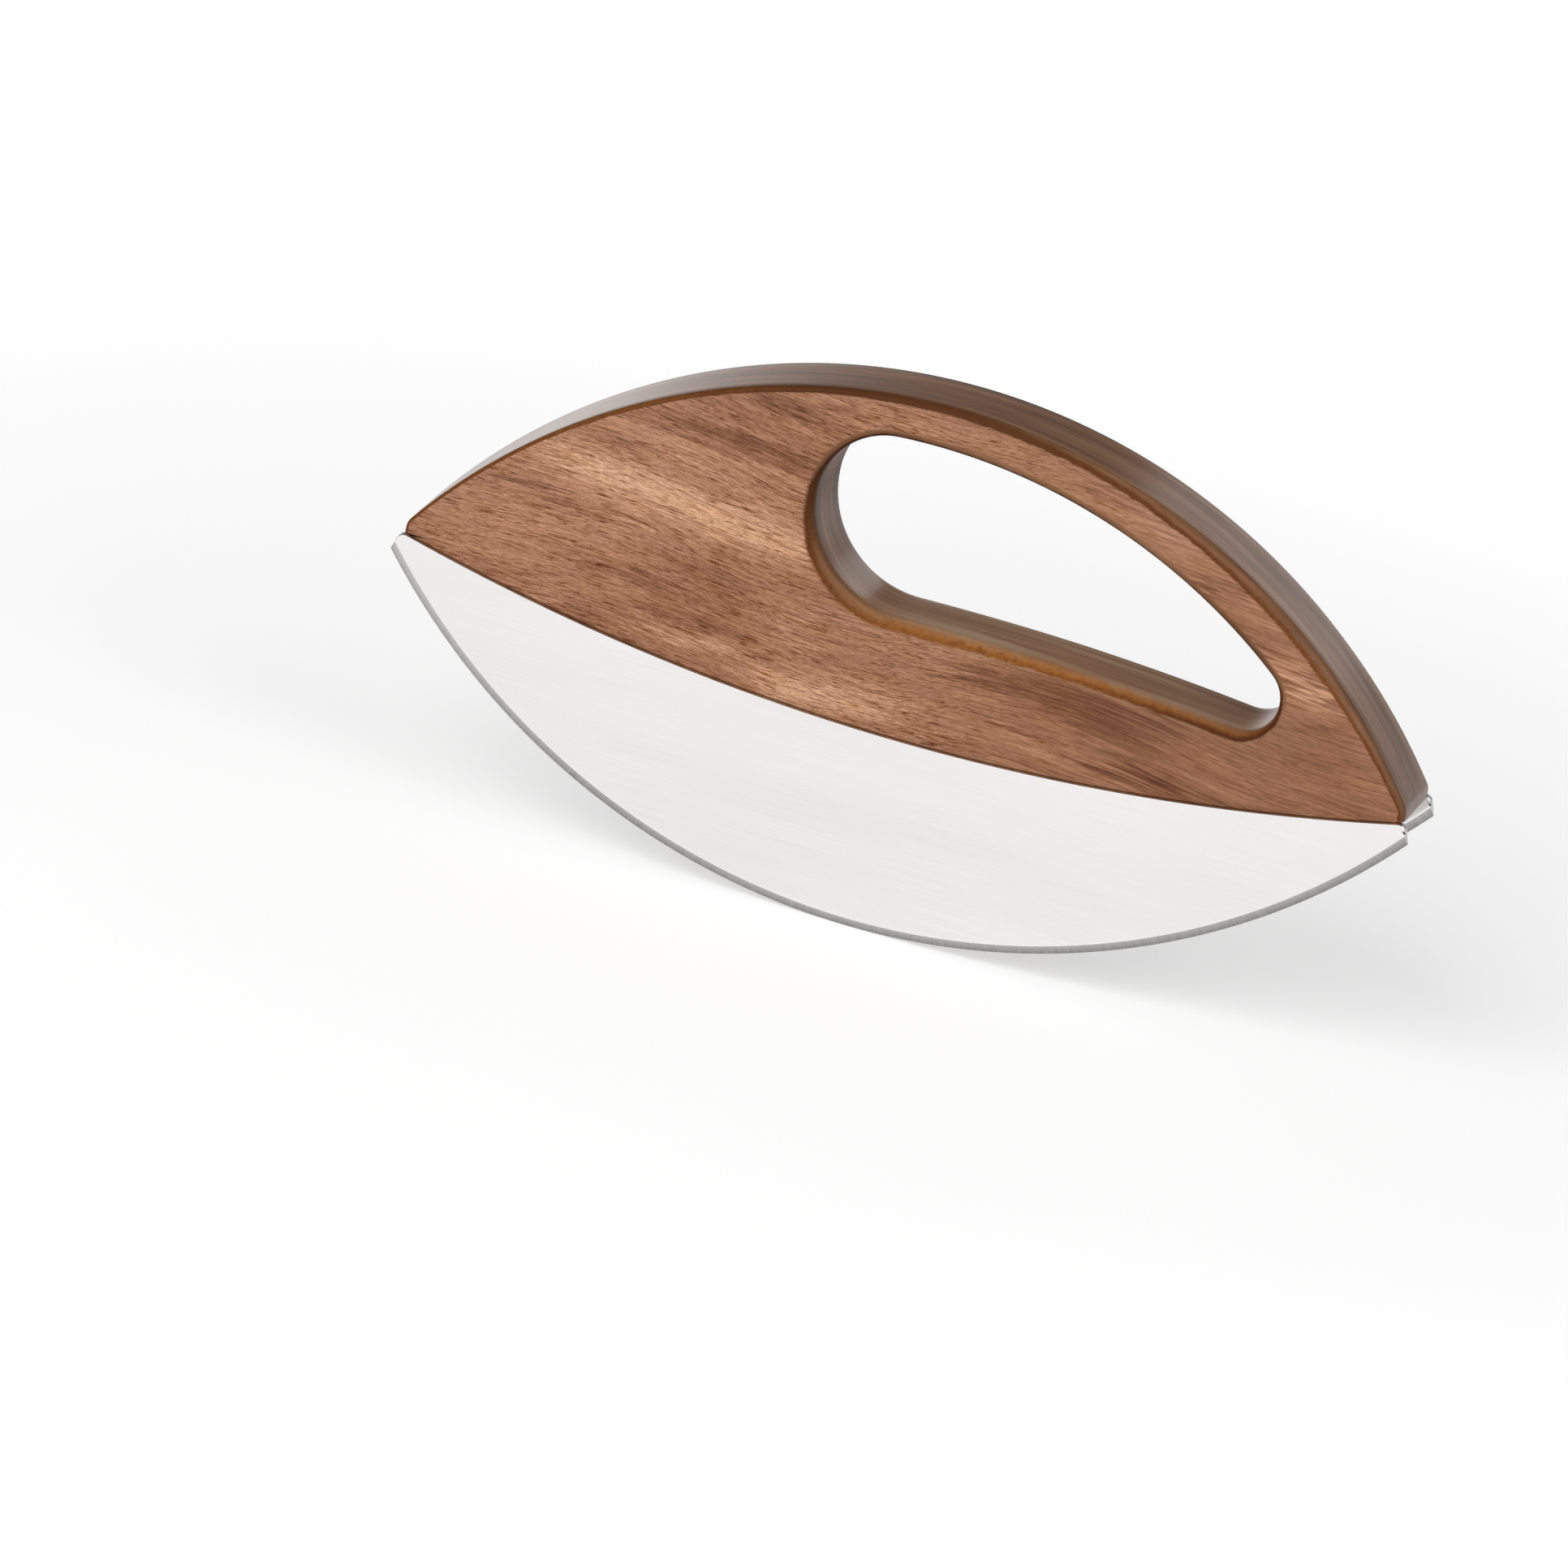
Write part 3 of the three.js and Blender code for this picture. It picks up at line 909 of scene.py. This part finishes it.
def open_wood(graph, place, grain):
    """Colour of the flat faces, and the relief of their pores and fibres."""
    figure = wood_figure(graph, place, grain.lines(0.02, 0.9, detail=3, roughness=0.7))
    tone = graph.math("MULTIPLY_ADD", figure, FIGURE_CONTRAST, PLAIN_TONE)
    for lines, size in (
        (grain.lines(0.012, 0.13, detail=3), 0.4),
        (grain.lines(0.07, 0.3), 0.15),
        (grain.lines(0.05, 2.7, detail=3, roughness=0.65), 0.85),
    ):
        tone = graph.math("ADD", tone, graph.swing(lines, size))
    plain = graph.ramp(
        tone,
        (0, colour(84, 47, 30)),
        (0.25, colour(120, 77, 54)),
        (0.5, colour(155, 108, 80)),
        (0.75, colour(184, 135, 105)),
        (1, colour(213, 166, 132)),
    )

    # Open pores are thin dark lines along the grain, thicker in some bands than in others
    crowd = graph.span(grain.lines(0.03, 0.25), (0.35, 0.65), (0.025, -0.025))
    dashes = graph.math("SUBTRACT", grain.lines(0.2, 6, detail=1), crowd)
    pores = graph.span(dashes, (0.51, 0.68))
    long_fibre = graph.swing(grain.lines(0.7, 5.5, roughness=0.65), 1.3)
    short_fibre = graph.swing(grain.lines(2.5, 5, detail=1), 0.4)
    fibre = graph.math("ADD", long_fibre, short_fibre)
    grit = graph.math("MULTIPLY_ADD", pores, -0.5, fibre)
    grit = graph.times(grit, graph.span(graph.split(place)[0], FADE_SPAN, (1.1, 0.5)))

    # The grit tints blue most and red least, and bands of the wood are redder or yellower
    tint = graph.vector("MULTIPLY_ADD", grit, (1, 1.25, 1.5), (1, 1, 1))
    tinge = graph.swing(grain.lines(0.12, 0.5), 1)
    tint = graph.vector("MULTIPLY_ADD", tinge, (0.1, 0, -0.2), tint)
    relief = graph.math("MULTIPLY_ADD", pores, -1, graph.times(fibre, 0.4))
    return graph.mix(1, plain, tint, "MULTIPLY"), relief


def polished_wood(graph, place):
    """Colour of the rim and the hole's walls: no open pores, streaks along them, and on some walls
    a paler band beside each edge."""
    bands = graph.noise(place, (0.02, 0.3, 0.025), detail=5, roughness=0.62)
    beside = graph.span(graph.math("ABSOLUTE", graph.split(place)[1]), EDGE_BAND_SPAN, (0.2, 0.26))
    level = graph.math("MULTIPLY_ADD", graph.attribute("edge_pale"), beside, 0.38)
    return graph.ramp(
        graph.math("ADD", level, graph.swing(bands, 1.8)),
        (0, colour(90, 62, 44)),
        (0.4, colour(131, 90, 62)),
        (0.7, colour(156, 118, 88)),
        (1, colour(172, 145, 116)),
    )


def burnished_edge(graph, place, grain, turn):
    """Colour of the rounded edges, with scorched spots, and how much of it shows: it has a ragged
    border to the flat face and a soft one to the wall."""
    teeth = graph.swing(grain.lines(0.7, 3.2, detail=3, roughness=0.65), 0.45)
    soft = graph.math("ADD", turn, graph.swing(graph.noise(place, (0.3,) * 3), 0.3))
    into = graph.math("SUBTRACT", graph.math("ADD", soft, teeth), graph.attribute("edge_start"))
    out = graph.math("SUBTRACT", soft, graph.attribute("edge_end"))
    amount = graph.times(graph.span(into, (-0.12, 0.16)), graph.span(out, (0.45, -0.3)))

    burnish = graph.mix(graph.attribute("edge_honey"), colour(78, 46, 26), colour(165, 102, 44))
    line = graph.times(graph.span(into, (0.6, 0.2)), graph.attribute("edge_line"))
    burnish = graph.mix(line, burnish, colour(78, 38, 16))
    spots = graph.swing(graph.noise(place, (0.9,) * 3, detail=3, roughness=0.7), 2)
    scorch = graph.math("ADD", spots, graph.swing(grain.lines(0.8, 4), 1.4))
    burnish = graph.mix(graph.math("ADD", scorch, 0.15), burnish, colour(84, 38, 12))
    return burnish, amount


def oiled_wood():
    material, graph = new_graph("oiled_wood")
    place = graph.object_mm()
    grain = Grain(graph, place)
    turn = graph.attribute("edge_turn")
    dull = graph.attribute("edge_dull")

    wood, relief = open_wood(graph, place, grain)
    polish = graph.span(turn, (-0.1, 0.4))
    wood = graph.mix(polish, wood, polished_wood(graph, place))
    burnish, amount = burnished_edge(graph, place, grain, turn)
    wood = graph.mix(amount, wood, burnish)

    bare = graph.math("SUBTRACT", 1, polish)
    gloss = graph.math("MULTIPLY_ADD", dull, -0.18, 0.35)
    wall_roughness = graph.math("MULTIPLY_ADD", dull, 0.28, 0.22)
    graph.surface(
        Base_Color=wood,
        Roughness=graph.span(turn, (0.5, 1.2), (0.5, wall_roughness)),
        Specular_IOR_Level=graph.span(amount, (0, 1), (gloss, 0.12)),
        Normal=graph.bump(graph.times(relief, bare), 0.3, 0.05),
    )
    return material


# Steel

BEVEL_REFLECTION_SPAN = (-110, -55)  # along X, where a painted reflection makes the bevel paler towards the left end


def brushed_steel():
    """Fine lines and broad faint streaks along the blade."""
    material, graph = new_graph("brushed_steel")
    place = graph.object_mm()
    fine = graph.noise(place, (0.03, 4, 4), detail=3, roughness=0.6)
    broad = graph.noise(place, (0.012, 1, 0.1))
    streak = graph.math("MULTIPLY_ADD", broad, 0.4, graph.times(fine, 0.6))
    graph.surface(
        Base_Color=graph.ramp(
            streak, (0.35, colour(241, 238, 237)), (0.65, colour(248, 246, 245))
        ),
        Metallic=1.0,
        Roughness=graph.span(streak, (0.3, 0.7), (0.34, 0.28)),
        Normal=graph.bump(fine, 0.06, 0.02),
    )
    return material


def ground_steel():
    """Grinding marks across the cutting edge, on a grey bevel with painted shade that darkens it towards
    that edge, and a painted reflection that makes it paler towards the left end.
    """
    material, graph = new_graph("ground_steel")
    x, y, z = graph.split(graph.object_mm())
    drop = graph.math("SUBTRACT", edge_radius, z)
    along = graph.times(graph.math("ARCTAN2", x, drop), edge_radius)
    marks = graph.noise(graph.join(along, y, z), (4.5, 0.4, 0.3), detail=3, roughness=0.7)
    # Painted shade: the bevel darkens towards the cutting edge. Painted reflection: it grows paler
    # towards the left end.
    rise = graph.math("SUBTRACT", edge_radius, graph.length(graph.join(x, 0, drop)))
    tone = graph.span(rise, (0, BEVEL_HEIGHT), (-0.18, 0.3), "LINEAR")
    tone = graph.math("ADD", tone, graph.span(x, BEVEL_REFLECTION_SPAN, (0.3, 0)))
    graph.surface(
        Base_Color=graph.ramp(
            graph.math("MULTIPLY_ADD", marks, 0.8, tone),
            (0, colour(118, 117, 116)),
            (1, colour(202, 201, 200)),
        ),
        Metallic=1.0,
        Roughness=graph.span(marks, (0.3, 0.7), (0.42, 0.34)),
        Normal=graph.bump(marks, 0.15, 0.03),
    )
    return material


def cut_steel():
    """The blades' top edges, a little rougher than the faces, mirror the wood above them. Their steel is
    darker and browner than the faces: painted shade, so the seam under the wood shows as a dark line.
    """
    material, graph = new_graph("cut_steel")
    scale = graph.noise(graph.object_mm(), (1.2, 0.5, 1.2), detail=3, roughness=0.6)
    graph.surface(
        # Painted shade of the seam: a darker, browner steel than the blade faces
        Base_Color=graph.ramp(scale, (0.3, colour(186, 174, 165)), (0.7, colour(212, 202, 194))),
        Metallic=1.0,
        Roughness=0.35,
    )
    return material


def rolled_steel():
    """Mill finish of the bracket strip, with fine lines along it."""
    material, graph = new_graph("rolled_steel")
    mill = graph.noise(graph.object_mm(), (0.6, 3, 3), detail=3, roughness=0.6)
    graph.surface(
        Base_Color=graph.ramp(mill, (0.3, colour(168, 167, 165)), (0.7, colour(196, 195, 192))),
        Metallic=1.0,
        Roughness=graph.span(mill, (0.3, 0.7), (0.44, 0.36)),
        Normal=graph.bump(mill, 0.1, 0.03),
    )
    return material


def plated_steel():
    """Bright zinc on the screws, a little cloudy."""
    material, graph = new_graph("plated_steel")
    cloud = graph.noise(graph.object_mm(), (1.5,) * 3, detail=3, roughness=0.6)
    graph.surface(
        Base_Color=graph.ramp(cloud, (0.3, colour(176, 177, 178)), (0.7, colour(206, 206, 204))),
        Metallic=1.0,
        Roughness=graph.span(cloud, (0.3, 0.7), (0.38, 0.28)),
    )
    return material


# Set, in metres

FLOOR_SIZE = 60
FLOOR_SHADE = (0.6, 0.6, 0.6, 1)
NEAR_GLOW = 0.56  # of the floor round the object, on top of the light that falls there
FAR_GLOW = 1.0
GLOW_SPAN = (0.15, 0.9)  # distances between which the floor's glow grows

# The room's brightness, by the height and the depth of the direction looked in
ROOM_SHADE = (1, 1, 1, 1)
FRONT_LIGHT = 0.2
HORIZON_LIGHT = 1.0
BACK_LIGHT = 0.12
HORIZON_SPAN = (-0.06, 0.3)  # heights between which the wall behind dims
FRONT_SPAN = (0.3, -0.3)  # depths between which the front takes over
LOW_BAND_SPAN = (0.05, 0.02)  # heights between which the low band begins

LIGHT_AIM = Vector((0, 0, 0.06))


def make_camera():
    turn, rise, rock = (math.radians(angle) for angle in (VIEW_TURN, VIEW_RISE, VIEW_ROCK))
    right = Vector((math.cos(turn), math.sin(turn), 0))
    back = Vector((math.sin(turn) * math.cos(rise), -math.cos(turn) * math.cos(rise), math.sin(rise)))
    up = back.cross(right)
    place = back * VIEW_DISTANCE - right * VIEW_SHIFT[0] - up * VIEW_SHIFT[1]
    unrock = Matrix.Rotation(-rock, 3, "Y")
    axes = unrock @ Matrix((right, up, back)).transposed()
    place = unrock @ place + Vector((0, blade_low.y, 0))

    camera = bpy.data.objects.new("camera", bpy.data.cameras.new("camera"))
    camera.data.sensor_width = SENSOR
    camera.data.lens = VIEW_SCALE * VIEW_DISTANCE / PHOTO_SIZE * SENSOR
    camera.matrix_world = Matrix.Translation(place * MM) @ axes.to_4x4()
    bpy.context.scene.collection.objects.link(camera)
    bpy.context.scene.camera = camera


def seen_or_mirrored(graph):
    """1 for what the camera, metal or glass looks at, 0 for what only lights a surface."""
    path = graph.add("ShaderNodeLightPath").outputs
    mirrored = graph.math("MAXIMUM", path["Is Glossy Ray"], path["Is Transmission Ray"])
    return graph.math("MAXIMUM", path["Is Camera Ray"], mirrored)


def make_floor():
    bm = bmesh.new()
    bmesh.ops.create_grid(bm, x_segments=1, y_segments=1, size=FLOOR_SIZE / 2)
    mesh = bpy.data.meshes.new("floor")
    bm.to_mesh(mesh)
    bm.free()
    floor = bpy.data.objects.new("floor", mesh)
    bpy.context.scene.collection.objects.link(floor)
    material, graph = new_graph("pale_floor")
    matt = graph.add("ShaderNodeBsdfDiffuse", {"Color": FLOOR_SHADE}).outputs[0]
    place = graph.add("ShaderNodeTexCoord").outputs["Object"]
    strength = graph.span(graph.length(place), GLOW_SPAN, (NEAR_GLOW, FAR_GLOW))
    strength = graph.times(seen_or_mirrored(graph), strength)
    glow = graph.add("ShaderNodeEmission", {"Strength": strength}).outputs[0]
    graph.output(graph.add("ShaderNodeAddShader", {0: matt, 1: glow}).outputs[0])
    mesh.materials.append(material)


def make_world():
    """A dim room, with a white wall behind the object and a low white band all round."""
    world = bpy.data.worlds.new("studio")
    bpy.context.scene.world = world
    world.use_nodes = True
    graph = Graph(world.node_tree)
    direction = graph.add("ShaderNodeTexCoord").outputs["Generated"]
    _, depth, height = graph.split(direction)
    behind = graph.span(height, HORIZON_SPAN, (HORIZON_LIGHT, BACK_LIGHT))
    share = graph.math("SUBTRACT", FRONT_LIGHT, behind)
    strength = graph.math("MULTIPLY_ADD", graph.span(depth, FRONT_SPAN), share, behind)
    strength = graph.math("MAXIMUM", strength, graph.span(height, LOW_BAND_SPAN))
    background = graph.add("ShaderNodeBackground", {"Color": ROOM_SHADE, "Strength": strength})
    graph.add("ShaderNodeOutputWorld", {"Surface": background.outputs[0]})


def area_light(name, place, size, power):
    light = bpy.data.lights.new(name, "AREA")
    light.shape = "DISK"
    light.size = size
    light.energy = power
    lamp = bpy.data.objects.new(name, light)
    lamp.location = place
    lamp.rotation_mode = "QUATERNION"
    lamp.rotation_quaternion = (LIGHT_AIM - lamp.location).to_track_quat("-Z", "Y")
    bpy.context.scene.collection.objects.link(lamp)
    return lamp


bpy.context.scene.view_settings.view_transform = "Standard"
make_camera()
make_world()
make_floor()
front_light = area_light("front_light", (-1.0, -2.2, 1.5), size=3, power=70)
front_light.visible_glossy = False  # it leaves no bright spot on the round edges
area_light("side_light", (2.0, -1.25, 1.85), size=2, power=20)
area_light("back_light", (0.57, 2.8, 0.93), size=1, power=2.6)

dress(make_handle(), "handle", "oiled_wood", oiled_wood())
blade_finishes = brushed_steel(), ground_steel(), cut_steel()
for node in ("front_blade", "rear_blade"):
    low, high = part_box(node)
    blade = make_blade(node + "_steel", (low.y + high.y) / 2 / MM)
    dress(blade, node, "brushed_blade", *blade_finishes)
strip, plating = rolled_steel(), plated_steel()
for side, x in STATIONS:
    dress(make_bracket(side + "_u_bracket", x), side + "_bracket", "bracket_steel", strip)
    for number, offset in ((1, -SCREW_OFFSET), (2, SCREW_OFFSET)):
        screw = make_screw(f"{side}_wood_screw_{number}", x, offset)
        dress(screw, f"{side}_screw_{number}", "screw_steel", plating)
